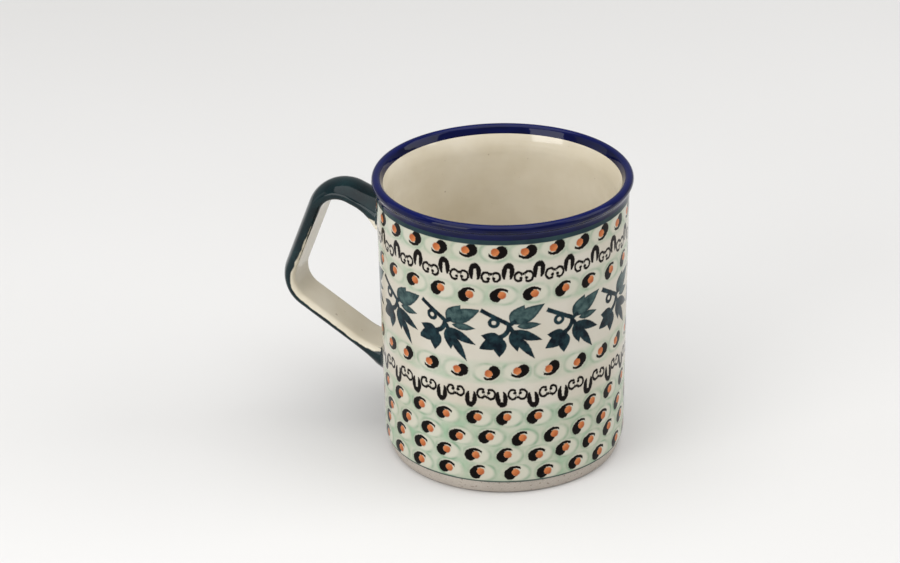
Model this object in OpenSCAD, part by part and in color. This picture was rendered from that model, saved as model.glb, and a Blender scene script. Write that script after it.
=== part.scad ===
// Stoneware mug: a straight cup with a rolled lip, and a bent strap handle that is luted to its wall.
// Every coat of glaze is a separate thin shell over the fired clay.
// Frame: the origin is the centre of the foot ring's resting face, +Z runs up the cup's axis,
// and the handle points towards -X.

/* [Cup] */
// Height of the cup, from the resting face to the top of the lip
cup_height = 96; // [84:1:120]
// Radius of the glazed wall where it leaves the heel
wall_bottom_r = 39.4; // [36:0.2:48]
// Radius of the glazed wall just under the lip
wall_top_r = 40.5; // [37:0.2:49]
// Thickness of the wall with its glaze
wall_thickness = 3.6; // [3:0.1:5]
// Height of the glazed floor inside the cup
floor_z = 6; // [4.5:0.1:9]
// Round between the floor and the wall inside
inner_corner_r = 8; // [5:0.5:14]

/* [Lip] */
// Radius of the rolled lip's own section
lip_r = 1.5; // [1.2:0.1:1.7]
// Distance that the lip stands out past the wall
lip_overhang = 1.3; // [0.8:0.1:1.8]
// Radius of the hollow curve under the lip
cove_r = 3; // [2:0.5:6]
// Radius of the gentle flare inside the mouth
flare_r = 20; // [12:1:30]

/* [Foot] */
// Height of the rounded heel
heel_h = 8; // [5:0.5:14]
// Distance that the heel draws in from the wall to the resting face
heel_tuck = 2; // [1:0.1:3.5]
// Width of the ring that the mug rests on
foot_ring_w = 4; // [3:0.5:8]
// Depth of the recess inside the foot ring
recess_depth = 1.8; // [1:0.1:2.4]

/* [Handle] */
// Width of the glazed strap
strap_w = 14; // [10:0.5:20]
// Thickness of the strap at its rounded edges
strap_edge_t = 3.6; // [3:0.1:5]
// Extra thickness of the strap along its middle
strap_crown = 1.6; // [0.8:0.1:3]
// Distance from the lip's top down to the centre of the handle's arch
arch_drop = 22.7; // [20:0.1:30]
// Distance from the wall out to the centre of the arch
arch_out = 14.2; // [12:0.1:20]
// Inner radius of the arch
arch_r = 7.6; // [6:0.1:10]
// Slope of the strap where it leaves the wall at the top, in degrees
rise_angle = 22; // [10:1:30]
// Distance from the centre of the arch down to the centre of the elbow
elbow_drop = 22.9; // [18:0.1:30]
// Distance from the wall out to the centre of the elbow
elbow_out = 23.4; // [16:0.1:28]
// Inner radius of the elbow
elbow_r = 7.5; // [5:0.1:13]
// Slope of the straight lower leg, in degrees
leg_angle = 32; // [25:1:40]
// Distance from the wall over which the strap swells into its ends
flare_reach = 9; // [5:0.5:11]
// Share by which the strap thickens where it meets the wall
flare_thicker = 0.9; // [0:0.05:1.2]
// Share by which the strap widens where it meets the wall
flare_wider = 0.18; // [0:0.02:0.4]

/* [Glaze] */
// Thickness of every coat of glaze
glaze_t = 0.3; // [0.2:0.05:0.4]
// Height of the line between the bare foot and the glazed wall
foot_line_z = 4.9; // [3.5:0.1:8]
// Distance from the lip's top down to the lower edge of the coloured rim outside
rim_drop_outside = 5.1; // [3.2:0.1:8]
// Distance from the lip's top down to the lower edge of the coloured rim inside
rim_drop_inside = 2.7; // [1.6:0.1:8]

/* [Luted joints] */
// Thickness of the slip between the wall's glazed face and the end of the strap
slip_t = 0.4; // [0.3:0.1:1.5]
// Distance that the wiped slip shows past the strap all round
slip_bead = 0.6; // [0.3:0.1:2]

/* [Hidden] */
$fn = 128;
far = 2 * cup_height;

// The lip's section, and the two arcs that are tangent to it
lip = [wall_top_r + lip_overhang - lip_r, cup_height - lip_r];
cove = [wall_top_r + cove_r, lip.y - sqrt(pow(cove_r + lip_r, 2) - pow(wall_top_r + cove_r - lip.x, 2))];
mouth_r = wall_top_r - wall_thickness;
// Radius within the wall that parts the rim's outer lower edge from its inner one
rim_parting_r = wall_top_r - wall_thickness / 3;
flare = [mouth_r + flare_r, lip.y - sqrt(pow(flare_r - lip_r, 2) - pow(mouth_r + flare_r - lip.x, 2))];

// The heel is one arc from the resting face to the wall
heel_r = (heel_h * heel_h + heel_tuck * heel_tuck) / (2 * heel_tuck);
heel = [wall_bottom_r - heel_r, heel_h];
recess_r = wall_bottom_r - heel_tuck - foot_ring_w;

// The inner corner, which sits on the same taper as the outer wall
inner_bottom_r = wall_bottom_r - wall_thickness;
corner = [inner_bottom_r - inner_corner_r, floor_z + inner_corner_r];

// The strap's section: a flat inner face, two round edges, and a crown tangent to both
edge_r = strap_edge_t / 2;
edge_y = strap_w / 2 - edge_r;
strap_t = strap_edge_t + strap_crown;
crown_r = (pow(strap_t - edge_r, 2) + edge_y * edge_y - edge_r * edge_r) / (2 * strap_crown);
crown_x = strap_t - crown_r;

// The route of the strap's inner face in its own plane, as [distance from the axis, height]
arch = [wall_top_r + arch_out, cup_height - arch_drop];
elbow = [wall_top_r + elbow_out, arch.y - elbow_drop];
shin_normal = atan2(arch.y - elbow.y, arch.x - elbow.x) - acos((elbow_r - arch_r) / norm(arch - elbow));
leg_normal = leg_angle - 90;
rise_normal = 90 + rise_angle;
rise_top = arch + arch_r * heading(rise_normal);
leg_top = elbow + elbow_r * heading(leg_normal);
bend_steps = 10;
flare_steps = 6;
edge_steps = 6;
crown_steps = 8;

// Distances from the axis of the sections near the wall; the first is buried in it
buried_r = min(wall_top_r, wall_bottom_r) - wall_thickness;
run_in = concat([buried_r],
                [for (k = [0 : flare_steps]) wall_top_r + flare_reach * k / flare_steps]);

// The swollen strap's inner and outer faces where it meets the wall, measured along its normal
end_inner = strap_edge_t * -flare_thicker;
end_outer = strap_t + strap_crown * flare_thicker;

// Lowest and highest points of the two luted joints, and the joints' own outline
rise_foot = rise_top.y - (rise_top.x - wall_top_r) * tan(rise_angle);
leg_foot = leg_top.y - (leg_top.x - wall_top_r) * tan(leg_angle);
upper_joint = [rise_foot + end_inner / cos(rise_angle), rise_foot + end_outer / cos(rise_angle)];
lower_joint = [leg_foot - end_outer / cos(leg_angle), leg_foot - end_inner / cos(leg_angle)];
joint_w = strap_w * (1 + flare_wider) + 2 * slip_bead;
joint_corner_r = edge_r * (1 + flare_thicker) + slip_bead;

// Every section's place, as [distance from the axis, height, angle of the inner face's normal]
rise = [for (r = run_in) [r, rise_top.y - (rise_top.x - r) * tan(rise_angle), rise_normal]];
leg = [for (r = run_in) [r, leg_top.y - (leg_top.x - r) * tan(leg_angle), leg_normal]];
route = concat(rise, bend(arch, arch_r, rise_normal, shin_normal),
               bend(elbow, elbow_r, shin_normal, leg_normal), reversed(leg));

// Unit vector at an angle from the x axis
function heading(angle) = [cos(angle), sin(angle)];

function reversed(list) = [for (k = [len(list) - 1 : -1 : 0]) list[k]];

// Points round an arc
function arc(centre, radius, from, to, steps) =
    [for (k = [0 : steps]) centre + radius * heading(from + (to - from) * k / steps)];

// Sections round one bend of the strap
function bend(centre, radius, from, to) =
    [for (k = [0 : bend_steps])
        let (angle = from + (to - from) * k / bend_steps, p = centre + radius * heading(angle))
            [p.x, p.y, angle]];

// The strap's section as a list of points: x is the distance out from its inner face, y runs across it
function strap_section(inset) =
    let (tangent = atan2(edge_y, edge_r - crown_x), inner = arc([crown_x, 0], crown_r - inset,
         -tangent, tangent, crown_steps))
    concat(arc([edge_r, -edge_y], edge_r - inset, 180, 360 - tangent, edge_steps),
           [for (k = [1 : crown_steps - 1]) inner[k]],
           arc([edge_r, edge_y], edge_r - inset, tangent, 180, edge_steps));

// One point of a section in its place, swollen by its nearness to the wall
function placed(point, station) =
    let (near = pow(min(1, max(0, 1 - (station.x - wall_top_r) / flare_reach)), 2),
         out = strap_edge_t + (point.x - strap_edge_t) * (1 + flare_thicker * near),
         p = [station.x, station.y] + out * heading(station.z))
    [-p.x, point.y * (1 + flare_wider * near), p.y];

// The outside of the cup in half section, filled to the axis, drawn this far inside the glazed face
module outside(inset) {
    hollow_point = lip + (lip_r - inset) * (cove - lip) / norm(cove - lip);
    mouth_point = lip + (lip_r - inset) * (lip - flare) / norm(lip - flare);
    square([max(heel.x, 0), heel_h]);
    intersection() {
        translate(heel)
            circle(r = heel_r - inset);
        translate([max(heel.x, 0), 0])
            square([far, heel_h]);
    }
    polygon([[0, heel_h], [wall_bottom_r - inset, heel_h], [wall_top_r - inset, cove.y], [0, cove.y]]);
    difference() {
        polygon([[0, cove.y], [wall_top_r - inset, cove.y], hollow_point, lip, mouth_point,
                 [0, mouth_point.y]]);
        translate(cove)
            circle(r = cove_r + inset);
    }
    translate(lip)
        circle(r = lip_r - inset);
}

// The space inside the cup in half section, grown this far past the glazed face
module inside(grow) {
    translate([0, floor_z - grow])
        square([corner.x, inner_corner_r + grow]);
    intersection() {
        translate(corner)
            circle(r = inner_corner_r + grow);
        translate([corner.x, 0])
            square([far, corner.y]);
    }
    polygon([[0, corner.y], [inner_bottom_r + grow, corner.y], [mouth_r + grow, flare.y], [0, flare.y]]);
    difference() {
        translate([0, flare.y])
            square([lip.x, cup_height]);
        translate(flare)
            circle(r = flare_r - grow);
    }
}

// Sweeps a section through a list of stations
module sweep(section, stations) {
    n = len(section);
    last = len(stations) - 1;
    points = [for (station = stations, point = section) placed(point, station)];
    sides = [for (i = [0 : last - 1], k = [0 : n - 1])
        let (a = i * n + k, b = i * n + (k + 1) % n)
            each [[a, b, b + n], [a, b + n, a + n]]];
    polyhedron(points, concat(sides, [[for (k = [n - 1 : -1 : 0]) k]], [[for (k = [0 : n - 1]) last * n + k]]));
}

// Trims what it is given to the curve of the wall, this far out from the glazed face
module coped(clearance) {
    difference() {
        children();
        rotate_extrude()
            outside(-clearance);
    }
}

// A block through the wall with the outline of one luted joint
module joint_block(heights) {
    low = heights.x - slip_bead;
    high = heights.y + slip_bead;
    translate([-far, 0, 0])
        rotate([90, 0, 90])
            linear_extrude(height = far - buried_r) {
                for (y = [-1, 1] * (joint_w / 2 - joint_corner_r),
                     z = [low, high] + [1, -1] * joint_corner_r)
                    translate([y, z])
                        circle(r = joint_corner_r);
                translate([-joint_w / 2, low + joint_corner_r])
                    square([joint_w, high - low - 2 * joint_corner_r]);
                translate([joint_corner_r - joint_w / 2, low])
                    square([joint_w - 2 * joint_corner_r, high - low]);
            }
}

// The layer of slip in one joint, from the clay of the wall out to the end of the strap
module slip_layer(heights) {
    intersection() {
        joint_block(heights);
        rotate_extrude()
            difference() {
                outside(-slip_t);
                outside(glaze_t);
            }
    }
}

// The fired clay of the cup, which is bare on the foot
module cup_body() {
    color([0.66, 0.62, 0.57])
        rotate_extrude()
            difference() {
                outside(glaze_t);
                inside(glaze_t);
                square([recess_r, recess_depth + glaze_t]);
            }
}

// The fired clay of the strap, coped to the wall at both ends
module handle() {
    color([0.66, 0.62, 0.57])
        coped(slip_t)
            sweep(strap_section(glaze_t), route);
}

// The slip that joins the strap to the wall under the lip
module upper_slip_joint() {
    color([0.06, 0.17, 0.18])
        slip_layer(upper_joint);
}

// The slip that joins the lower leg to the wall
module lower_slip_joint() {
    color([0.06, 0.17, 0.18])
        slip_layer(lower_joint);
}

// The cream glaze inside the cup
module lining_glaze() {
    color([0.82, 0.78, 0.68])
        rotate_extrude()
            intersection() {
                difference() {
                    inside(glaze_t);
                    inside(0);
                }
                square([far, cup_height - rim_drop_inside]);
            }
}

// The deep blue glaze over the lip
module rim_glaze() {
    color([0.04, 0.07, 0.25])
        rotate_extrude()
            intersection() {
                difference() {
                    outside(0);
                    inside(0);
                    difference() {
                        outside(glaze_t);
                        inside(glaze_t);
                    }
                }
                union() {
                    translate([0, cup_height - rim_drop_inside])
                        square([rim_parting_r, far]);
                    translate([rim_parting_r, cup_height - rim_drop_outside])
                        square([far, far]);
                }
            }
}

// The clear glaze over the decorated wall, open where the two ends of the handle are luted on
module wall_glaze() {
    color([0.84, 0.87, 0.80])
        difference() {
            rotate_extrude()
                intersection() {
                    difference() {
                        outside(0);
                        outside(glaze_t);
                    }
                    translate([0, foot_line_z])
                        square([far, cup_height - rim_drop_outside - foot_line_z]);
                }
            joint_block(upper_joint);
            joint_block(lower_joint);
        }
}

// The dark green glaze over the outer face and both edges of the strap
module handle_outer_glaze() {
    color([0.06, 0.17, 0.18])
        coped(slip_t)
            sweep(concat(strap_section(0), reversed(strap_section(glaze_t))), route);
}

// The cream glaze on the flat inner face of the strap
module handle_inner_glaze() {
    color([0.82, 0.78, 0.68])
        coped(slip_t)
            sweep([[0, edge_y], [0, -edge_y], [glaze_t, -edge_y], [glaze_t, edge_y]], route);
}

// The clear glaze in the recess under the cup
module recess_glaze() {
    color([0.84, 0.84, 0.80])
        translate([0, 0, recess_depth])
            cylinder(r = recess_r, h = glaze_t);
}

cup_body();
handle();
upper_slip_joint();
lower_slip_joint();
lining_glaze();
rim_glaze();
wall_glaze();
handle_outer_glaze();
handle_inner_glaze();
recess_glaze();
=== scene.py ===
"""The looks of a stoneware mug: a thrown cup with a stamped and painted wall, and a bent strap handle."""

import math

import bpy
from mathutils import Matrix, Vector


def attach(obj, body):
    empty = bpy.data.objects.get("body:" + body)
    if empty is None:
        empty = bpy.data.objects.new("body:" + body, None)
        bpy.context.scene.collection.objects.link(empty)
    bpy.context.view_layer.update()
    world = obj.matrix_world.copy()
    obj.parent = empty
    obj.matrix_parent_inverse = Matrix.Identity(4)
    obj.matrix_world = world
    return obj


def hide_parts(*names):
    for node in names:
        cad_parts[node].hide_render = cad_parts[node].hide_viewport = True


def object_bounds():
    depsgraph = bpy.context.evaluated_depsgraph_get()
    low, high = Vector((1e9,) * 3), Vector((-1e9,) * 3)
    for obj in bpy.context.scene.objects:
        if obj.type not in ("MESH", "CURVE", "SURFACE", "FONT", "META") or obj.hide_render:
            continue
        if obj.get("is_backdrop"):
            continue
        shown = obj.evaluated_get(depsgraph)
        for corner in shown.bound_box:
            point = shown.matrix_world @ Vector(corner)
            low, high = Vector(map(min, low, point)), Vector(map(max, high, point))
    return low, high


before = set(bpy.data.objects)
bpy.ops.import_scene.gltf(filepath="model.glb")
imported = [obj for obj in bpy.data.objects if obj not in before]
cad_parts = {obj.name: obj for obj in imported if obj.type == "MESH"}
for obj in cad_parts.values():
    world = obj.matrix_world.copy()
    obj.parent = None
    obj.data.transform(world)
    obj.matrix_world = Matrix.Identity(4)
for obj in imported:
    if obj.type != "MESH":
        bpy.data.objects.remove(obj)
cad_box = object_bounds()


# ---- The clay of the cup ----
# Pale grey stoneware, thrown straight up with a rolled lip and a turned foot ring.
# Glaze covers all of it but the foot, which stays bare, dry and a little gritty.
# Its sizes, and every other size of the mug, are in millimetres; meshes are written in metres.
MM = 0.001
CUP_HEIGHT = 96.0
WALL_BOTTOM_R = 39.4
WALL_TOP_R = 40.5
WALL_T = 3.6
FLOOR_Z = 6.0
INNER_CORNER_R = 8.0
LIP_R = 1.5
LIP_OVERHANG = 1.3
COVE_R = 3.0
FLARE_R = 20.0
HEEL_H = 8.0
HEEL_TUCK = 2.0
FOOT_RING_W = 4.0
RECESS_DEPTH = 1.8
FOOT_EASE = 0.6
GLAZE_T = 0.3
STEPS_ROUND = 288
HEEL_STEPS = 14
WALL_STEPS = 40
COVE_STEPS = 10
LIP_STEPS = 20
FLARE_STEPS = 24
CORNER_STEPS = 18
FLOOR_STEPS = 12
RAIL_R = 40.0

# The lip's section and the two arcs tangent to it, each as the centre's [radius, height]
lip = Vector((WALL_TOP_R + LIP_OVERHANG - LIP_R, CUP_HEIGHT - LIP_R))
cove = Vector((WALL_TOP_R + COVE_R, 0))
cove.y = lip.y - math.sqrt((COVE_R + LIP_R) ** 2 - (cove.x - lip.x) ** 2)
mouth_r = WALL_TOP_R - WALL_T
flare = Vector((mouth_r + FLARE_R, 0))
flare.y = lip.y - math.sqrt((FLARE_R - LIP_R) ** 2 - (flare.x - lip.x) ** 2)
heel_r = (HEEL_H**2 + HEEL_TUCK**2) / (2 * HEEL_TUCK)
heel = Vector((WALL_BOTTOM_R - heel_r, HEEL_H))
recess_r = WALL_BOTTOM_R - HEEL_TUCK - FOOT_RING_W
inner_bottom_r = WALL_BOTTOM_R - WALL_T
corner = Vector((inner_bottom_r - INNER_CORNER_R, FLOOR_Z + INNER_CORNER_R))


def heading(degrees):
    """The unit vector at an angle from the first axis."""
    return Vector((math.cos(math.radians(degrees)), math.sin(math.radians(degrees))))


def arc(centre, radius, start, end, steps):
    """Points round an arc, both ends included."""
    return [centre + radius * heading(start + (end - start) * k / steps) for k in range(steps + 1)]


def straight(start, end, steps):
    """Points along a straight line, without its ends."""
    return [start.lerp(end, k / steps) for k in range(1, steps)]


def bearing(vector):
    return math.degrees(math.atan2(vector.y, vector.x))


def outer_line(inset):
    """The cup's outside from the ground up to the top of the lip, this far inside the glazed face."""
    start = math.degrees(math.asin(-heel.y / (heel_r - inset)))
    points = arc(heel, heel_r - inset, start, 0, HEEL_STEPS)
    foot = Vector((WALL_BOTTOM_R - inset, HEEL_H))
    top = Vector((WALL_TOP_R - inset, cove.y))
    points += straight(foot, top, WALL_STEPS)
    under = bearing(lip - cove)
    points += arc(cove, COVE_R + inset, 180, under, COVE_STEPS)
    return points + arc(lip, LIP_R - inset, under - 180, 90, LIP_STEPS)[1:]


def inner_line(grow):
    """The cup's inside from the top down to the axis, this far past the glazed face."""
    over = bearing(lip - flare)
    points = arc(lip, LIP_R - grow, 90, over, COVE_STEPS)
    points += arc(flare, FLARE_R - grow, over, 180, FLARE_STEPS)[1:]
    points += straight(points[-1], Vector((inner_bottom_r + grow, corner.y)), WALL_STEPS)
    points += arc(corner, INNER_CORNER_R + grow, 0, -90, CORNER_STEPS)
    shares = [1 - k / FLOOR_STEPS for k in range(1, FLOOR_STEPS + 1)]
    return points + [Vector((corner.x * share, FLOOR_Z - grow)) for share in shares]


class Wire:
    """An output in a node tree. An expression of wires and numbers adds Math nodes to the tree."""

    def __init__(self, tree, socket=None):
        self.tree = tree
        self.socket = socket

    def node(self, kind, settings=(), inputs=(), output=0):
        """Adds a node: its settings are made first, then the values or links of its sockets."""
        made = self.tree.nodes.new(kind)
        for name, value in dict(settings).items():
            setattr(made, name, value)
        for name, value in dict(inputs).items():
            if isinstance(value, Wire):
                self.tree.links.new(value.socket, made.inputs[name])
            else:
                made.inputs[name].default_value = value
        return Wire(self.tree, made.outputs[output] if made.outputs else None)

    def also(self, output):
        """Another output of the same node."""
        return Wire(self.tree, self.socket.node.outputs[output])

    def maths(self, operation, *values, clamp=False):
        settings = {"operation": operation, "use_clamp": clamp}
        return self.node("ShaderNodeMath", settings, enumerate(values))

    def __add__(self, other):
        return self.maths("ADD", self, other)

    def __radd__(self, other):
        return self.maths("ADD", other, self)

    def __sub__(self, other):
        return self.maths("SUBTRACT", self, other)

    def __rsub__(self, other):
        return self.maths("SUBTRACT", other, self)

    def __mul__(self, other):
        return self.maths("MULTIPLY", self, other)

    def __rmul__(self, other):
        return self.maths("MULTIPLY", other, self)

    def __truediv__(self, other):
        return self.maths("DIVIDE", self, other)

    def __neg__(self):
        return self.maths("MULTIPLY", self, -1)

    def __abs__(self):
        return self.maths("ABSOLUTE", self)

    def __gt__(self, other):
        return self.maths("GREATER_THAN", self, other)


# The wheel turns a half section, which is drawn about the rail, into a whole thrown piece
wheel = bpy.data.node_groups.new("throwing_wheel", "GeometryNodeTree")
wheel_inputs = {}
for wheel_name, wheel_kind in (
    ("Half Section", "NodeSocketGeometry"),
    ("Rail Radius", "NodeSocketFloat"),
    ("Steps Round", "NodeSocketInt"),
    ("Finish", "NodeSocketMaterial"),
):
    made = wheel.interface.new_socket(wheel_name, in_out="INPUT", socket_type=wheel_kind)
    wheel_inputs[wheel_name] = made.identifier
wheel.interface.new_socket("Thrown Piece", in_out="OUTPUT", socket_type="NodeSocketGeometry")
given = Wire(wheel).node("NodeGroupInput")
rail = given.node(
    "GeometryNodeCurvePrimitiveCircle",
    {"mode": "RADIUS"},
    {"Radius": given.also("Rail Radius"), "Resolution": given.also("Steps Round")},
)
half = given.node("GeometryNodeMeshToCurve", (), {"Mesh": given.also("Half Section")})
turned = given.node("GeometryNodeCurveToMesh", (), {"Curve": rail, "Profile Curve": half})
closed = given.node("GeometryNodeMergeByDistance", (), {"Geometry": turned, "Distance": 1e-6})
smooth = given.node("GeometryNodeSetShadeSmooth", (), {"Geometry": closed})
realized = given.node("GeometryNodeRealizeInstances", (), {"Geometry": smooth})
finished = given.node(
    "GeometryNodeSetMaterial", (), {"Geometry": realized, "Material": given.also("Finish")}
)
given.node("NodeGroupOutput", (), {"Thrown Piece": finished})


def faced_out(mesh, sharp_from=50):
    """Turns a closed mesh's faces outwards and keeps its corners crisp."""
    mesh.calc_loop_triangles()
    at = [v.co for v in mesh.vertices]
    volume = sum(
        at[a].dot(at[b].cross(at[c])) for a, b, c in (t.vertices for t in mesh.loop_triangles)
    )
    if volume < 0:
        mesh.flip_normals()
    mesh.shade_smooth()
    mesh.set_sharp_from_angle(angle=math.radians(sharp_from))
    return mesh


def shown(name, mesh):
    made = bpy.data.objects.new(name, mesh)
    bpy.context.scene.collection.objects.link(made)
    return made


def thrown(name, line, finish, wrap=True):
    """A turned piece from its half section. Without wrap, both ends of the line are on the axis."""
    count = len(line)
    edges = [(k, (k + 1) % count) for k in range(count if wrap else count - 1)]
    mesh = bpy.data.meshes.new(name)
    mesh.from_pydata([((p.x - RAIL_R) * MM, -p.y * MM, 0) for p in line], edges, [])
    piece = shown(name, mesh)
    turning = piece.modifiers.new("turning", "NODES")
    turning.node_group = wheel
    turning[wheel_inputs["Rail Radius"]] = RAIL_R * MM
    turning[wheel_inputs["Steps Round"]] = STEPS_ROUND
    turning[wheel_inputs["Finish"]] = finish
    done = piece.evaluated_get(bpy.context.evaluated_depsgraph_get())
    result = bpy.data.meshes.new_from_object(done)
    piece.modifiers.clear()
    piece.data = faced_out(result)
    result.name = name
    return piece


def colour(red, green, blue):
    """A colour given as 0 to 255 display values."""
    shares = [c / 255 for c in (red, green, blue)]
    return [c / 12.92 if c <= 0.04045 else ((c + 0.055) / 1.055) ** 2.4 for c in shares] + [1]


def new_finish(name):
    """An empty material, and its Object coordinates in millimetres."""
    made = bpy.data.materials.new(name)
    made.use_nodes = True
    made.node_tree.nodes.clear()
    place = Wire(made.node_tree).node("ShaderNodeTexCoord", output="Object")
    inputs = {"Vector": place, "Scale": 1 / MM}
    return made, place.node("ShaderNodeVectorMath", {"operation": "SCALE"}, inputs)


def noise(place, per_mm, detail=2.0, rough=0.5, output="Fac"):
    inputs = {"Vector": place, "Scale": per_mm, "Detail": detail, "Roughness": rough}
    return place.node("ShaderNodeTexNoise", (), inputs, output)


def stretched(place, x, y, z):
    settings = {"operation": "MULTIPLY"}
    return place.node("ShaderNodeVectorMath", settings, {0: place, 1: (x, y, z)})


def blended(share, first, second):
    """Colour that goes from first, where share is 0, to second, where it is 1."""
    settings = {"data_type": "RGBA"}
    return share.node("ShaderNodeMix", settings, {0: share, 6: first, 7: second}, 2)


def ramp(value, low, high):
    """0 below low, 1 above high, and even in between."""
    slope = 1 / (high - low)
    return value.maths("MULTIPLY_ADD", value, slope, -low * slope, clamp=True)


def raised(height, depth_mm, strength=1.0):
    inputs = {"Height": height, "Distance": depth_mm * MM, "Strength": strength}
    return height.node("ShaderNodeBump", (), inputs)


def fired(place, inputs):
    """Ends a material in its surface."""
    surface = place.node("ShaderNodeBsdfPrincipled", (), inputs)
    place.node("ShaderNodeOutputMaterial", (), {"Surface": surface})


def cut(line, low, high):
    """The part of a rising or falling line between two heights, with a point at each."""
    kept = []
    for start, end in zip(line, line[1:] + line[-1:]):
        if low <= start.y <= high:
            kept.append(start)
        stops = [z for z in (low, high) if min(start.y, end.y) < z < max(start.y, end.y)]
        kept += [start.lerp(end, (z - start.y) / (end.y - start.y)) for z in stops]
    return kept


CLAY = colour(152, 142, 132)
CLAY_PALE = colour(184, 175, 164)
CLAY_GRIT = colour(203, 196, 186)
CLAY_SPECK = colour(105, 92, 80)
clay_finish, place = new_finish("bare_stoneware")
clay_grit = noise(place, 2.2, 3, 0.7)
clay_patches = noise(place, 0.09, 2)
clay_specks = ramp(noise(place, 1.1, 0), 0.70, 0.76)
clay_colour = blended(clay_patches, CLAY, CLAY_PALE)
clay_colour = blended(ramp(clay_grit, 0.35, 0.75) * 0.5, clay_colour, CLAY_GRIT)
clay_colour = blended(clay_specks * 0.5, clay_colour, CLAY_SPECK)
fired(
    place,
    {
        "Base Color": clay_colour,
        "Roughness": 0.7 + 0.25 * clay_grit,
        "Normal": raised(clay_grit, 0.12),
        "Specular IOR Level": 0.3,
    },
)

foot_outside = outer_line(GLAZE_T)
cup_line = [Vector((0, RECESS_DEPTH + GLAZE_T)), Vector((recess_r, RECESS_DEPTH + GLAZE_T))]
cup_line += [Vector((recess_r, RECESS_DEPTH * 0.6))]
cup_line += arc(Vector((recess_r + FOOT_EASE, FOOT_EASE)), FOOT_EASE, 180, 270, 5)
cup_line += [Vector((foot_outside[0].x - FOOT_EASE, 0))]
cup_line += [p for p in foot_outside if p.y > FOOT_EASE * 0.6]
cup_line += inner_line(GLAZE_T)[1:]
cup_clay = thrown("cup_clay", cup_line, clay_finish, wrap=False)
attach(cup_clay, "root")
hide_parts("cup_body")


# ---- The cream lining ----
# A warm cream glaze poured inside the cup, glassy, with faint throwing rings and iron specks.
# It stops just under the lip, where the blue begins.
RIM_DROP_INSIDE = 2.7
CREAM = colour(224, 216, 198)
CREAM_DEEP = colour(212, 202, 180)
IRON = colour(128, 104, 76)


def cream_colour(place):
    """Cream glaze over stoneware: soft mottling and a few iron specks."""
    mottled = blended(ramp(noise(place, 0.07, 3), 0.3, 0.7), CREAM, CREAM_DEEP)
    specks = ramp(noise(place, 0.75, 1), 0.77, 0.80)
    return blended(specks * 0.4, mottled, IRON)


cream_finish, place = new_finish("cream_lining_glaze")
throwing = noise(stretched(place, 0.02, 0.02, 0.35), 1, 1)
orange_peel = noise(place, 0.22, 2)
fired(
    place,
    {
        "Base Color": cream_colour(place),
        "Roughness": 0.05 + 0.05 * noise(place, 0.4),
        "Normal": raised(throwing + 0.25 * orange_peel, 0.10),
        "IOR": 1.52,
    },
)

lining_top = CUP_HEIGHT - RIM_DROP_INSIDE
lining_line = cut(inner_line(0), 0, lining_top)
lining_line += cut(inner_line(GLAZE_T), 0, lining_top)[::-1]
lining_coat = thrown("lining_coat", lining_line, cream_finish, wrap=False)
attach(lining_coat, "root")
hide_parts("lining_glaze")


# ---- The blue rim ----
# Deep cobalt glaze brushed over the lip, outside down to the teal line and just over the edge inside.
# It is darker in random streaks round the lip, and lighter on the crest, partly where the glaze thins and
# partly as a painted highlight.
RIM_DROP_OUTSIDE = 5.1
COBALT = colour(5, 12, 62)
COBALT_POOL = colour(3, 7, 40)
COBALT_THIN_AND_SHEEN = colour(14, 24, 86)

rim_finish, place = new_finish("cobalt_rim_glaze")
height = place.node("ShaderNodeSeparateXYZ", (), {0: place}, "Z")
brushing = noise(stretched(place, 1, 1, 3), 0.12, 3)
# Painted highlight and thin glaze: the top 0.9 mm of the lip is blended towards a lighter blue
thin_crest_and_sheen = ramp(height, CUP_HEIGHT - 0.9, CUP_HEIGHT) * 0.55
rim_colour = blended(ramp(brushing, 0.35, 0.7), COBALT, COBALT_POOL)
rim_colour = blended(thin_crest_and_sheen, rim_colour, COBALT_THIN_AND_SHEEN)
fired(
    place,
    {
        "Base Color": rim_colour,
        "Roughness": 0.03 + 0.04 * brushing,
        "Normal": raised(noise(place, 0.3, 2), 0.05),
        "Specular IOR Level": 0.15,
        "IOR": 1.54,
    },
)

rim_low = CUP_HEIGHT - RIM_DROP_OUTSIDE


def over_lip(inset):
    """The lip's outline, from the teal line up over its top and down inside to the lining."""
    outside = cut(outer_line(inset), rim_low, CUP_HEIGHT)
    return outside + cut(inner_line(inset), lining_top, CUP_HEIGHT)[1:]


rim_line = over_lip(0) + over_lip(GLAZE_T)[::-1]
rim_coat = thrown("rim_coat", rim_line, rim_finish)
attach(rim_coat, "root")
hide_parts("rim_glaze")


# ---- The decorated wall ----
# Stamped and brushed by hand on the clay, under one clear glaze: a teal line under the lip and at the
# foot, rows of dark eye stamps in pale green rings, two bands of loops and curls, and a row of sprigs.
FOOT_LINE_Z = 4.9
FOOT_EDGE = 0.3
FRONT = -70
# Each row of eye stamps: its height, how many go round, the bearing of one of them seen from the
# front, and whether the stamp was held upside down
EYE_ROWS = (
    (8.3, 23, 5.1, 0),
    (14.8, 25, 1.9, 0),
    (21.3, 24, 8.9, 0),
    (28.5, 25, 1.9, 0),
    (45.0, 25, -8.2, 1),
    (72.0, 25, 0.3, 0),
    (87.0, 27, -4.2, 1),
)
ROW_ENDS = (11.55, 18.05, 24.9, 33.0, 58.5, 79.5)
GROUND = colour(197, 192, 180)
GROUND_WARM = colour(190, 183, 168)
GREEN_WASH = colour(142, 170, 142)
GREEN_RING = colour(98, 140, 110)
PATCH = colour(200, 196, 181)
BLACK = colour(7, 3, 2)
ORANGE = colour(200, 118, 62)
ORANGE_DEEP = colour(160, 76, 26)

wall_finish, place = new_finish("stamped_wall_glaze")
axes = place.node("ShaderNodeSeparateXYZ", (), {0: place})
height = axes.also("Z")
turn = axes.maths("ARCTAN2", axes.also("Y"), axes.also("X"))
wall_mean_r = (WALL_BOTTOM_R + WALL_TOP_R) / 2
ragged = noise(place, 1.5, 2) - 0.5
blotchy = noise(place, 0.16, 3)


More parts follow.
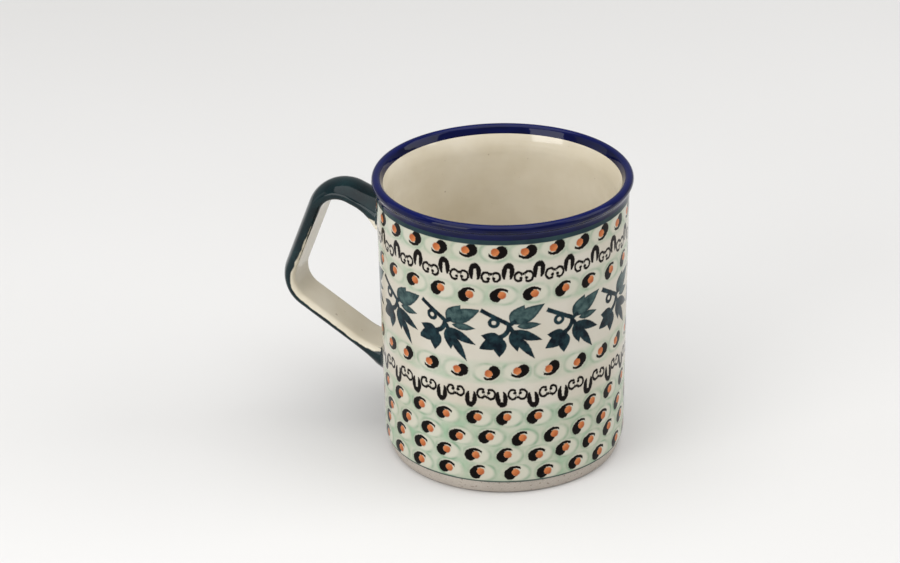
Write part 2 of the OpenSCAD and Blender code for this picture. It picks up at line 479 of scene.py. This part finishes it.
def inside(distance, soft=0.2):
    """1 where a distance is below zero, with an edge this soft."""
    return distance.maths("MULTIPLY_ADD", distance, -1 / soft, 0.5, clamp=True)


def least(first, *others):
    for other in others:
        first = first.maths("MINIMUM", first, other)
    return first


def most(first, *others):
    for other in others:
        first = first.maths("MAXIMUM", first, other)
    return first


def span(x, y):
    """Length of the vector with these two parts."""
    vector = x.node("ShaderNodeCombineXYZ", (), {0: x, 1: y})
    settings = {"operation": "LENGTH"}
    return x.node("ShaderNodeVectorMath", settings, {0: vector}, "Value")


def disc(x, y, centre, radius):
    """Distance from a disc's edge, below zero inside it."""
    return span(x - centre[0], y - centre[1]) - radius


def oval(x, y, centre, half):
    """Distance from an oval's edge, in the measure of its half width."""
    return (span((x - centre[0]) / half[0], (y - centre[1]) / half[1]) - 1) * half[0]


def chance(cell, row):
    """Three random numbers for each stamp, from 0 to 1."""
    vector = cell.node("ShaderNodeCombineXYZ", (), {0: cell, 1: row})
    settings = {"noise_dimensions": "3D"}
    drawn = cell.node("ShaderNodeTexWhiteNoise", settings, {"Vector": vector}, "Color")
    parts = cell.node("ShaderNodeSeparateXYZ", (), {0: drawn})
    return parts, parts.also("Y"), parts.also("Z")


def repeats(count, bearing_of_one):
    """Which repeat round the wall a point is in, and how far it is from that one's centre."""
    where = turn * (count / math.tau) - bearing_of_one * (count / 360)
    cell = where.maths("ROUND", where)
    return cell, (where - cell) * (math.tau * wall_mean_r / count)


steps = [height > end for end in ROW_ENDS]


def by_row(index):
    """The value that the row at this height has in EYE_ROWS."""
    values = [row[index] for row in EYE_ROWS]
    total = values[0]
    for step, before, after in zip(steps, values, values[1:]):
        total = step.maths("MULTIPLY_ADD", step, after - before, total)
    return total


eye_z, eye_count, eye_turned = by_row(0), by_row(1), by_row(3)
eye_where = turn * eye_count / math.tau - (by_row(2) + FRONT) * eye_count / 360
eye_cell = eye_where.maths("ROUND", eye_where)
shift, lift, lean = chance(eye_cell, eye_z)
eye_x = (eye_where - eye_cell) * (math.tau * wall_mean_r) / eye_count + (shift - 0.5) * 0.9
eye_y = height - eye_z + (lift - 0.5) * 0.9
eye_way = 1 - 2 * eye_turned
eye_x = eye_x * eye_way
eye_y = eye_y * eye_way
tilt = (lean - 0.5) * 0.45
ring = (span(eye_x / 4.7, eye_y / 3.4) - 1) * 4
eye_x, eye_y = eye_x + tilt * (eye_y + 0.5), eye_y - tilt * (eye_x + 1.5)

# The stamp itself: a dark body, its tail over the top, and an orange dab beside it
BODY_AT = (-2.2, -0.4)
BODY_HALF = (1.95, 2.15)
TAIL_AT = (-0.35, -0.85)
TAIL_R = 2.9
TAIL_HALF = 0.47
TAIL_TAPER = 0.07
TAIL_TIP = 1.5
TAIL_FOOT = 0.3
DAB_AT = (-0.35, 0.05)
DAB_R = 1.38
DAB_MARGIN = 0.15
body = oval(eye_x, eye_y, BODY_AT, BODY_HALF)
tail_line = abs(disc(eye_x, eye_y, TAIL_AT, TAIL_R)) - (TAIL_HALF - TAIL_TAPER * eye_x)
tail = most(tail_line, eye_x - TAIL_TIP, TAIL_FOOT - eye_y)
dab = disc(eye_x, eye_y, DAB_AT, DAB_R)
eye_black = most(least(body, tail), -DAB_MARGIN - dab) + ragged * 0.55
eye_mask = inside(eye_black, 0.25)
dab_mask = inside(dab + ragged * 0.6, 0.4)

# Pale green rings and the wash between them
near_rows = inside(abs(height - eye_z) - 3.9, 1.6)
below_band = ramp(height, 31.5, 30)
wash_zone = most(near_rows * 0.75, below_band)
off_patch = ramp(ring, -0.7, 0.5)
ring_line = ramp(1 - abs(ring + 0.2) / 0.85, 0, 0.8)
wash = wash_zone * off_patch * ramp(blotchy, 0.3, 0.75)
wall_colour = blended(ramp(noise(place, 0.05, 3), 0.35, 0.65), GROUND, GROUND_WARM)
wall_colour = blended(most(wash, wash_zone * 0.3), wall_colour, GREEN_WASH)
ring_share = ring_line * wash_zone * ramp(noise(place, 0.22, 2), 0.3, 0.7) * 0.75
wall_colour = blended(ring_share, wall_colour, GREEN_RING)
wall_colour = blended(inside(ring + 0.7, 1.2) * wash_zone * 0.6, wall_colour, PATCH)
dab_colour = blended(ramp(eye_x - eye_y + ragged * 2, -2.2, 1), ORANGE, ORANGE_DEEP)
wall_colour = blended(dab_mask * 0.95, wall_colour, dab_colour)
wall_colour = blended(eye_mask, wall_colour, BLACK)

# The two bands of loops and curls: the upper one is the lower one upside down
LOOP_COUNT = 25
LOWER_LOOPS = (35.3, -1.1 + FRONT)
UPPER_LOOPS = (80.2, 1.8 + FRONT)
HOOF_HALF = (2.0, 3.15)
HOOF_FOOT = 2.6
CURL_IN = 1.55
CURL_R = 1.35
CURL_HALF = 0.38
KNOB_AT = (0.85, 0.5)
KNOB_R = 0.55
upper = height > ROW_ENDS[4]
loop_cell, loop_x = repeats(LOOP_COUNT, LOWER_LOOPS[1])
upper_cell, upper_x = repeats(LOOP_COUNT, UPPER_LOOPS[1])
loop_x = loop_x + upper * (upper_x - loop_x)
loop_cell = loop_cell + upper * (upper_cell - loop_cell + 40)
shift, lift, lean = chance(loop_cell, upper)
loop_y = (height - LOWER_LOOPS[0]) + upper * (UPPER_LOOPS[0] + LOWER_LOOPS[0] - 2 * height)
loop_half = math.pi * wall_mean_r / LOOP_COUNT
hoof_x = loop_x + (shift - 0.5) * 0.5 + (lean - 0.5) * 0.25 * loop_y
hoof_y = loop_y + (lift - 0.5) * 0.7
hoof = oval(hoof_x, hoof_y, (0, 0), HOOF_HALF)
slot_depth = most(abs(hoof_x) - (0.42 + 0.1 * hoof_y), -1.1 - hoof_y)
hoof = most(hoof, -slot_depth, hoof_y - HOOF_FOOT)
curl_x = loop_half - abs(loop_x)
curl_y = loop_y - 1.9 + (lean - 0.5) * 0.35
curl_r = span(curl_x - CURL_IN, curl_y / 1.2)
curl = abs(curl_r - CURL_R - (shift - 0.5) * 0.25) - CURL_HALF
curl = most(curl, least(0.5 - curl_x, curl_y + 0.8))
knob = disc(curl_x, curl_y, KNOB_AT, KNOB_R)
cusp = most(curl_x - 0.4, abs(curl_y + 1.0) - 0.5)
loops = least(hoof, curl, knob, cusp) + ragged * 0.5
wall_colour = blended(inside(loops, 0.25), wall_colour, BLACK)

# The sprigs: a stem with a loop, and eight almond leaves in three sprays
SPRIG_COUNT = 12
SPRIG_Z = 59.5
SPRIG_BEARING = 4.0 + FRONT
LEAF_DARK = colour(5, 17, 27)
LEAF_DARK_THIN = colour(27, 50, 56)
LEAF_LIGHT = colour(24, 46, 50)
LEAF_LIGHT_THIN = colour(76, 98, 96)
LEAF_EDGE = colour(14, 34, 42)
LIGHT_LEAVES = (
    ((0.8, 0.6), (5.4, 7.0), 2.3),
    ((1.0, 0.8), (11.8, 6.4), 2.4),
    ((2.6, -0.3), (10.4, -0.5), 1.25),
)
DARK_LEAVES = (
    ((-1.8, -4.0), (-9.8, -7.8), 2.3),
    ((-2.4, -4.6), (-8.8, -3.0), 1.9),
    ((-3.0, -3.6), (-3.4, -10.8), 2.2),
    ((0.6, -1.7), (10.6, -6.2), 1.6),
    ((2.0, -3.4), (7.8, -12.4), 1.4),
    ((1.2, -1.4), (2.4, -9.2), 1.8),
)
BOW_AT = (-4.0, 0.4)
BOW_R = 4.2
BOW_HALF = 0.8
BOW_TOP = 0.6
BOW_SIDE = 3.4
TENDRIL_AT = (-4.5, 1.4)
TENDRIL_R = 1.3
TENDRIL_HALF = 0.6
STEMS = (
    ((-8.4, 5.8), (0.6, 0.4), 0.75),
    ((-4.4, 3.6), (-4.5, 2.4), 0.7),
    ((0.0, 0.2), (1.8, -3.0), 0.75),
    ((0.0, 0.2), (2.4, 1.6), 0.7),
)


def along(x, y, start, end):
    """How far a point is along a line, as a share of it, and how far off it to the side."""
    run = Vector(end) - Vector(start)
    unit = run.normalized()
    share = x * (unit.x / run.length) + y * (unit.y / run.length)
    share = share - (Vector(start).dot(unit) / run.length)
    side = y * unit.x - x * unit.y
    return share, side - (Vector(start).y * unit.x - Vector(start).x * unit.y), run.length


def leaf(x, y, start, end, half_width):
    """Distance from an almond leaf, fuller near its base."""
    share, side, length = along(x, y, start, end)
    bulge = share * (1 - share) * (1.35 - 0.7 * share)
    return most(abs(side) - bulge * (4 * half_width), (abs(share - 0.5) - 0.5) * length)


def stem(x, y, start, end, half_width):
    share, side, length = along(x, y, start, end)
    return most(abs(side) - half_width, (abs(share - 0.5) - 0.5) * length)


sprig_cell, sprig_x = repeats(SPRIG_COUNT, SPRIG_BEARING)
shift, lift, lean = chance(sprig_cell, 0)
sprig_x = sprig_x + 1.2 + (shift - 0.5) * 0.7
sprig_y = height - SPRIG_Z - 1.5 + (lift - 0.5) * 0.8
sprig_x, sprig_y = sprig_x + (lean - 0.5) * 0.12 * sprig_y, sprig_y - (lean - 0.5) * 0.12 * sprig_x
light = least(*[leaf(sprig_x, sprig_y, *shape) for shape in LIGHT_LEAVES])
dark = least(*[leaf(sprig_x, sprig_y, *shape) for shape in DARK_LEAVES])
stems = least(*[stem(sprig_x, sprig_y, *shape) for shape in STEMS])
bow = abs(disc(sprig_x, sprig_y, BOW_AT, BOW_R)) - BOW_HALF
bow = most(bow, sprig_y - BOW_TOP, -BOW_SIDE - sprig_x)
tendril = abs(disc(sprig_x, sprig_y, TENDRIL_AT, TENDRIL_R)) - TENDRIL_HALF
sprig_soft = ragged * 0.35
dark = least(dark, stems, bow, tendril) + sprig_soft
light = light + sprig_soft
washes = ramp(noise(place, 0.45, 3), 0.35, 0.65)
dark_tone = blended(washes, LEAF_DARK, LEAF_DARK_THIN)
light_edge = ramp(light, -0.9, 0)
light_tone = blended(washes * 0.75 + 0.1, LEAF_LIGHT, LEAF_LIGHT_THIN)
light_tone = blended(light_edge * 0.75, light_tone, LEAF_EDGE)
wall_colour = blended(inside(light, 0.3), wall_colour, light_tone)
wall_colour = blended(inside(dark, 0.3), wall_colour, dark_tone)

# The teal lines
BAND_LOW = 89.3
FOOT_LINE_W = 0.65
BAND_TEAL = colour(42, 62, 66)
BAND_TEAL_DEEP = colour(26, 44, 50)
FOOT_TEAL = colour(40, 58, 60)
wobble = (noise(place, 0.12, 2) - 0.5) * 0.5
band = ramp(height + wobble, BAND_LOW - 0.12, BAND_LOW + 0.15)
band_tone = blended(ramp(blotchy, 0.3, 0.7), BAND_TEAL, BAND_TEAL_DEEP)
foot_line = inside(height - FOOT_LINE_Z - FOOT_LINE_W + wobble * 0.6, 0.25)
wall_colour = blended(band, wall_colour, band_tone)
wall_colour = blended(foot_line * 0.85, wall_colour, FOOT_TEAL)
fired(
    place,
    {
        "Base Color": wall_colour,
        "Roughness": 0.08 + 0.06 * noise(place, 0.5),
        "Normal": raised(noise(place, 0.2, 2), 0.06),
        "Specular IOR Level": 0.08,
        "IOR": 1.5,
    },
)

wall_outside = cut(outer_line(0), FOOT_LINE_Z + FOOT_EDGE, rim_low)
wall_back = cut(outer_line(GLAZE_T), FOOT_LINE_Z, rim_low)
foot_bead = Vector((wall_back[0].x * 0.4 + wall_outside[0].x * 0.6, FOOT_LINE_Z + 0.02))
wall_line = [foot_bead] + wall_outside + wall_back[::-1]
wall_coat = thrown("wall_coat", wall_line, wall_finish)

# The coat's own map lays the wall out flat as two strips, one for each half round, and squeezes
# the hidden back of the coat into a thin third strip
STRIPS = ((0.0, 0.48), (0.485, 0.965))
BACK_STRIP = (0.97, 1.0)
far_round = [0.0]
for before, after in zip(wall_line, wall_line[1:] + wall_line[:1]):
    far_round.append(far_round[-1] + (after - before).length)
last_shown = len(wall_outside)
coat_mesh = wall_coat.data
spots = []
for vertex in coat_mesh.vertices:
    radius = math.hypot(vertex.co.x, vertex.co.y) / MM
    height_mm = vertex.co.z / MM
    at = Vector((radius, height_mm))
    index = min(range(len(wall_line)), key=lambda k: (wall_line[k] - at).length_squared)
    spots.append((index, math.atan2(vertex.co.y, vertex.co.x) % math.tau))
flat = coat_mesh.uv_layers.new(name="OFBake")
for face in coat_mesh.polygons:
    corners = [spots[k] for k in face.vertices]
    centre = math.atan2(face.center.y, face.center.x) % math.tau
    half = int(centre > math.pi)
    rows = [index for index, _ in corners]
    wraps = max(rows) - min(rows) > 1
    shows = max(rows) <= last_shown and not wraps
    for loop, (index, angle) in zip(face.loop_indices, corners):
        angle = centre + (angle - centre + math.pi) % math.tau - math.pi
        across = min(1, max(0, angle / math.pi - half))
        if shows:
            low, high = STRIPS[half]
            up = (far_round[index] - far_round[0]) / far_round[last_shown]
        else:
            low, high = BACK_STRIP
            across = (across + half) / 2
            length = far_round[-1] if wraps and index == 0 else far_round[index]
            up = (length - far_round[last_shown]) / (far_round[-1] - far_round[last_shown])
        flat.data[loop].uv = (across, low + (high - low) * up)
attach(wall_coat, "root")
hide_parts("wall_glaze")


# ---- The glaze in the foot's recess ----
# A thin clear glaze wiped over the underside inside the foot ring.
# It is streaky, with a few iron specks, and the ring around it stays bare.
RECESS_GLAZE = colour(196, 188, 172)
RECESS_PALE = colour(222, 216, 200)
recess_finish, place = new_finish("recess_clear_glaze")
recess_wipe = noise(stretched(place, 0.3, 1, 1), 0.3, 3)
recess_colour = blended(recess_wipe, RECESS_GLAZE, RECESS_PALE)
recess_colour = blended(ramp(noise(place, 0.8, 1), 0.7, 0.75) * 0.5, recess_colour, IRON)
fired(
    place,
    {
        "Base Color": recess_colour,
        "Roughness": 0.15 + 0.15 * recess_wipe,
        "Normal": raised(recess_wipe, 0.05),
        "IOR": 1.5,
    },
)
recess_line = [Vector((0, RECESS_DEPTH + GLAZE_T)), Vector((recess_r, RECESS_DEPTH + GLAZE_T))]
recess_line += arc(Vector((recess_r - 0.3, RECESS_DEPTH + 0.3)), 0.3, 0, -90, 3)
recess_line += [Vector((recess_r * (1 - k / 8), RECESS_DEPTH)) for k in range(1, 9)]
recess_coat = thrown("recess_coat", recess_line, recess_finish, wrap=False)
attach(recess_coat, "root")
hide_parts("recess_glaze")


# ---- The strap's clay ----
# One pulled strap, crowned outside and flat inside, bent over an arch and an elbow.
# Both ends swell and are cut to the curve of the wall.
STRAP_W = 14.0
STRAP_EDGE_T = 3.6
STRAP_CROWN = 1.6
ARCH = Vector((WALL_TOP_R + 14.2, CUP_HEIGHT - 22.7))
ARCH_R = 7.6
ELBOW = Vector((WALL_TOP_R + 23.4, ARCH.y - 22.9))
ELBOW_R = 7.5
RISE_ANGLE = 22
LEG_ANGLE = 32
FLARE_REACH = 9.0
FLARE_THICKER = 0.9
FLARE_WIDER = 0.18
BEND_STEPS = 28
REACH_STEPS = 18
EDGE_STEPS = 12
CROWN_STEPS = 20
FLAT_STEPS = 12
BURIED = 0.5
# The measure along the strap of its rise, arch, elbow and leg, each from one end to the other
PARTS_LIE = ((0, 0.8), (1, 2), (3, 4), (4.2, 5))

edge_r = STRAP_EDGE_T / 2
edge_y = STRAP_W / 2 - edge_r
strap_t = STRAP_EDGE_T + STRAP_CROWN
crown_r = ((strap_t - edge_r) ** 2 + edge_y**2 - edge_r**2) / (2 * STRAP_CROWN)
crown_x = strap_t - crown_r
tangent = math.degrees(math.atan2(edge_y, edge_r - crown_x))
span_of_bends = ARCH - ELBOW
shin_normal = bearing(span_of_bends) - math.degrees(math.acos((ELBOW_R - ARCH_R) / span_of_bends.length))
# The two straight ends: where each leaves its bend, its slope, and its inner face's normal
rise_normal = 90 + RISE_ANGLE
leg_normal = LEG_ANGLE - 90
RISE = (ARCH + ARCH_R * heading(rise_normal), RISE_ANGLE, rise_normal)
LEG = (ELBOW + ELBOW_R * heading(leg_normal), LEG_ANGLE, leg_normal)


def strap_outside(inset):
    """The two round edges and the crown of the strap's section, from one side of the flat to the other."""
    points = arc(Vector((edge_r, -edge_y)), edge_r - inset, 180, 360 - tangent, EDGE_STEPS)
    points += arc(Vector((crown_x, 0)), crown_r - inset, -tangent, tangent, CROWN_STEPS)[1:-1]
    return points + arc(Vector((edge_r, edge_y)), edge_r - inset, tangent, 180, EDGE_STEPS)


def strap_flat(inset):
    """The flat inner face of the strap's section, both ends included."""
    ends = Vector((inset, edge_y)), Vector((inset, -edge_y))
    return [ends[0]] + straight(*ends, FLAT_STEPS) + [ends[1]]


def placed(point, radius, height, normal):
    """One point of a section in its place, swollen by its nearness to the wall."""
    near = min(1, max(0, 1 - (radius - WALL_TOP_R) / FLARE_REACH)) ** 2
    out = STRAP_EDGE_T + (point.x - STRAP_EDGE_T) * (1 + FLARE_THICKER * near)
    p = Vector((radius, height)) + out * heading(normal)
    return Vector((-p.x, point.y * (1 + FLARE_WIDER * near), p.y))


def on_end(point, end, radius):
    """A point of the section on one straight end, at this distance from the axis."""
    top, slope, normal = end
    return placed(point, radius, top.y - (top.x - radius) * math.tan(math.radians(slope)), normal)


def at_wall(point, end, clearance):
    """The distance from the axis at which a point of the section comes to the wall's curve."""
    radius = WALL_TOP_R
    for _ in range(12):
        p = on_end(point, end, radius)
        taper = (p.z - HEEL_H) / (cove.y - HEEL_H)
        wall_r = WALL_BOTTOM_R + (WALL_TOP_R - WALL_BOTTOM_R) * taper
        radius += wall_r + clearance - math.hypot(p.x, p.y)
    return radius


def end_rings(section, end):
    """Rings from the wall out to where the strap has its own size."""
    stops = [at_wall(p, end, -BURIED) for p in section]
    full = WALL_TOP_R + FLARE_REACH
    shares = [k / REACH_STEPS for k in range(REACH_STEPS + 1)]
    return [[on_end(p, end, s + (full - s) * share) for p, s in zip(section, stops)] for share in shares]


def bend_rings(section, centre, radius, start, stop):
    angles = [start + (stop - start) * k / BEND_STEPS for k in range(BEND_STEPS + 1)]
    spots = [(centre + radius * heading(angle), angle) for angle in angles]
    return [[placed(p, spot.x, spot.y, angle) for p in section] for spot, angle in spots]


def joined(name, rings, finish, wrap=False, lie=()):
    """A closed mesh through rings of points. With wrap, the last ring meets the first.
    What lie holds for each point is kept as the attribute that the strap's glazes read."""
    n = len(rings[0])
    count = len(rings)
    faces = [
        (i * n + k, i * n + (k + 1) % n, (i + 1) % count * n + (k + 1) % n, (i + 1) % count * n + k)
        for i in range(count if wrap else count - 1)
        for k in range(n)
    ]
    if not wrap:
        faces += [tuple(reversed(range(n))), tuple(range((count - 1) * n, count * n))]
    mesh = bpy.data.meshes.new(name)
    mesh.from_pydata([p * MM for ring in rings for p in ring], [], faces)
    mesh.materials.append(finish)
    if lie:
        kept = mesh.attributes.new("lie", "FLOAT_VECTOR", "POINT")
        kept.data.foreach_set("vector", [part for point in lie for part in point])
    return shown(name, faced_out(mesh))


def strap(name, section, finish):
    """A length of the strap with this section, from the wall under the lip to the wall below.
    Each point keeps how far along it lies, one for each straight or bend, and how far out from
    the edge of the flat face, which is below zero on the flat."""
    parts = (
        end_rings(section, RISE),
        bend_rings(section, ARCH, ARCH_R, rise_normal, shin_normal),
        bend_rings(section, ELBOW, ELBOW_R, shin_normal, leg_normal),
        end_rings(section, LEG)[::-1],
    )
    rings = []
    lie = []
    for part, (begin, end) in zip(parts, PARTS_LIE):
        for k, ring in enumerate(part):
            along_strap = begin + (end - begin) * k / (len(part) - 1)
            rings.append(ring)
            lie += [(along_strap, p.x if p.x > GLAZE_T else abs(p.y) - edge_y, 0) for p in section]
    return joined(name, rings, finish, lie=lie)


strap_clay = strap("strap_clay", strap_outside(GLAZE_T) + strap_flat(GLAZE_T)[1:-1], clay_finish)
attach(strap_clay, "root")
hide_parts("handle")


# ---- The luted joints ----
# Slip holds each end of the strap to the wall. It is wiped to a small hollow fillet all round
# and glazed with the strap, green outside and cream on the inner side.
FILLET_R = 1.6
FILLET_STEPS = 10
# Where the green starts at places along the strap, as a distance out from the edge of the flat
# face. Below zero it starts on the flat, as it does over the arch.
GREEN_FROM = (
    (0, 2.6),
    (0.45, 0.3),
    (0.6, -0.8),
    (1.9, -0.8),
    (2.25, 0.3),
    (3, 0.9),
    (3.5, 1.4),
    (4.2, 1.6),
    (4.5, 1.4),
    (5, 0.2),
)
STRAP_GREEN = colour(15, 40, 44)
STRAP_GREEN_DEEP = colour(7, 23, 28)
STRAP_GREEN_THIN = colour(34, 64, 65)


def green_colour(place):
    """Dark teal glaze: streaky, and lighter where it is thin."""
    streaks = noise(stretched(place, 1, 0.6, 1), 0.14, 4, 0.6)
    deep = blended(ramp(streaks, 0.35, 0.65), STRAP_GREEN_DEEP, STRAP_GREEN)
    return blended(ramp(noise(place, 0.5, 2), 0.6, 0.8) * 0.35, deep, STRAP_GREEN_THIN)


def green_share(place):
    """1 where the strap is green. Cream wraps round its inner edges, except over the arch."""
    settings = {"attribute_name": "lie", "attribute_type": "GEOMETRY"}
    lie = place.node("ShaderNodeAttribute", settings, output="Vector")
    parts = place.node("ShaderNodeSeparateXYZ", (), {0: lie})
    limit = GREEN_FROM[0][1]
    for before, after in zip(GREEN_FROM, GREEN_FROM[1:]):
        limit = limit + ramp(parts, before[0], after[0]) * (after[1] - before[1])
    edge = parts.also("Y") + (noise(place, 0.35, 2) - 0.5) * 0.9
    return ramp(edge - limit, -0.15, 0.15)


def luting(name, end, cream_from, cream_to, cream_half, node):
    """The fillet round one end. Its inner side is cream, from the first height to the second,
    as far as cream_half to each side."""
    finish, place = new_finish(name + "_glaze")
    axes = place.node("ShaderNodeSeparateXYZ", (), {0: place})
    edge = abs(axes.also("Y")) + (noise(place, 0.4) - 0.5) * 2
    share = ramp(axes.also("Z"), cream_from, cream_to) * ramp(edge, cream_half + 0.5, cream_half - 0.5)
    fired(
        place,
        {
            "Base Color": blended(share, green_colour(place), cream_colour(place)),
            "Roughness": 0.08 + 0.06 * noise(place, 0.4),
            "Normal": raised(noise(place, 0.3, 2), 0.05),
            "IOR": 1.5,
        },
    )
    quarter = [math.pi / 2 * k / FILLET_STEPS for k in range(FILLET_STEPS + 1)]
    hollow = [(FILLET_R * (1 - math.cos(a)), FILLET_R * (1 - math.sin(a))) for a in quarter]
    course = hollow + [(FILLET_R, -BURIED), (-BURIED, -BURIED), (-BURIED, FILLET_R)]
    rings = []
    for clearance, spread in course:
        section = strap_outside(-spread) + strap_flat(-spread)[1:-1]
        rings.append([on_end(p, end, at_wall(p, end, clearance)) for p in section])
    made = joined(name, rings, finish, wrap=True)
    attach(made, "root")
    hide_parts(node)


luting("upper_luting", RISE, 75.6, 74.6, 12.0, "upper_slip_joint")
luting("lower_luting", LEG, 26.5, 27.8, 5.4, "lower_slip_joint")


# ---- The strap's green coat ----
# Dark teal glaze brushed over the strap's outer face. Cream wraps round its inner edges,
# except over the arch, where the green goes all the way round them.
green_finish, place = new_finish("strap_green_glaze")
fired(
    place,
    {
        "Base Color": blended(green_share(place), cream_colour(place), green_colour(place)),
        "Roughness": 0.06 + 0.08 * noise(place, 0.3),
        "Normal": raised(noise(place, 0.2, 2), 0.08),
        "Specular IOR Level": 0.2,
        "IOR": 1.54,
    },
)
green_section = strap_outside(0) + strap_outside(GLAZE_T)[::-1]
strap_green_coat = strap("strap_green_coat", green_section, green_finish)
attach(strap_green_coat, "root")
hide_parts("handle_outer_glaze")


# ---- The strap's cream coat ----
# The flat inner face keeps the cream of the lining. Over the arch the green comes in a little
# from both edges.
inner_finish, place = new_finish("strap_cream_glaze")
fired(
    place,
    {
        "Base Color": blended(green_share(place) * 0.9, cream_colour(place), STRAP_GREEN),
        "Roughness": 0.08 + 0.08 * noise(place, 0.3),
        "Normal": raised(noise(place, 0.15, 2), 0.12),
        "IOR": 1.5,
    },
)
strap_cream_coat = strap("strap_cream_coat", strap_flat(0) + strap_flat(GLAZE_T)[::-1], inner_finish)
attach(strap_cream_coat, "root")
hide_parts("handle_inner_glaze")


# ---- The studio ----
# A plain pale floor, big soft lights, and a long lens a little above the mug.
# The floor and the lights are placed and sized in metres.
SWEEP_HALF = 1.6
VIEW_AZIMUTH = 20.0
VIEW_ELEVATION = 26.36
VIEW_DISTANCE = 960.0
VIEW_PITCH = 25.84
VIEW_YAW = 1.15
VIEW_ROLL = -0.97
LENS = 118.0

floor_finish, place = new_finish("pale_floor")
fired(
    place,
    {
        "Base Color": blended(noise(place, 0.004, 2), colour(214, 213, 211), colour(220, 219, 218)),
        "Roughness": 0.75,
    },
)
sweep = bpy.data.meshes.new("floor")
wide = SWEEP_HALF
corners = [(-wide, -wide, 0), (wide, -wide, 0), (wide, wide, 0), (-wide, wide, 0)]
sweep.from_pydata(corners, [], [(0, 1, 2, 3)])
sweep.materials.append(floor_finish)
shown("floor", sweep)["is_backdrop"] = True

world = bpy.data.worlds.new("studio")
world.use_nodes = True
world.node_tree.nodes["Background"].inputs["Color"].default_value = (1, 1, 1, 1)
world.node_tree.nodes["Background"].inputs["Strength"].default_value = 0.36
bpy.context.scene.world = world
bpy.context.scene.view_settings.view_transform = "Standard"


def softbox(name, azimuth, elevation, distance, width, depth, power):
    """A rectangular light that faces the middle of the mug."""
    data = bpy.data.lights.new(name, "AREA")
    data.shape = "RECTANGLE"
    data.size = width
    data.size_y = depth
    data.energy = power
    made = bpy.data.objects.new(name, data)
    bpy.context.scene.collection.objects.link(made)
    side = math.radians(azimuth)
    up = math.radians(elevation)
    way = Vector((math.sin(side) * math.cos(up), -math.cos(side) * math.cos(up), math.sin(up)))
    made.location = way * distance + Vector((0, 0, CUP_HEIGHT / 2 * MM))
    made.rotation_euler = way.to_track_quat("Z", "Y").to_euler()


softbox("window", -25, 18, 0.9, 0.50, 0.52, 3.3)
softbox("overhead", 10, 78, 1.5, 2.0, 2.0, 25)
softbox("left_panel", -75, 18, 1.3, 0.9, 0.9, 1.6)
softbox("right_panel", 105, 30, 1.3, 0.9, 0.9, 6.0)

lens = bpy.data.cameras.new("camera")
lens.lens = LENS
lens.clip_start = 0.01
camera = bpy.data.objects.new("camera", lens)
bpy.context.scene.collection.objects.link(camera)
around = Matrix.Rotation(math.radians(VIEW_AZIMUTH), 4, "Z")
raised_by = math.radians(VIEW_ELEVATION)
spot = Vector((0, -math.cos(raised_by), math.sin(raised_by))) * VIEW_DISTANCE
spot.z += CUP_HEIGHT / 2
facing = Matrix.Rotation(math.radians(VIEW_AZIMUTH + VIEW_YAW), 4, "Z")
facing = facing @ Matrix.Rotation(math.radians(90 - VIEW_PITCH), 4, "X")
facing = facing @ Matrix.Rotation(math.radians(VIEW_ROLL), 4, "Z")
camera.matrix_world = Matrix.Translation(around @ (spot * MM)) @ facing
bpy.context.scene.camera = camera

sizes = {"cad": cad_box, "visual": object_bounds()}
sizes = {name: [list(corner) for corner in box] for name, box in sizes.items()}
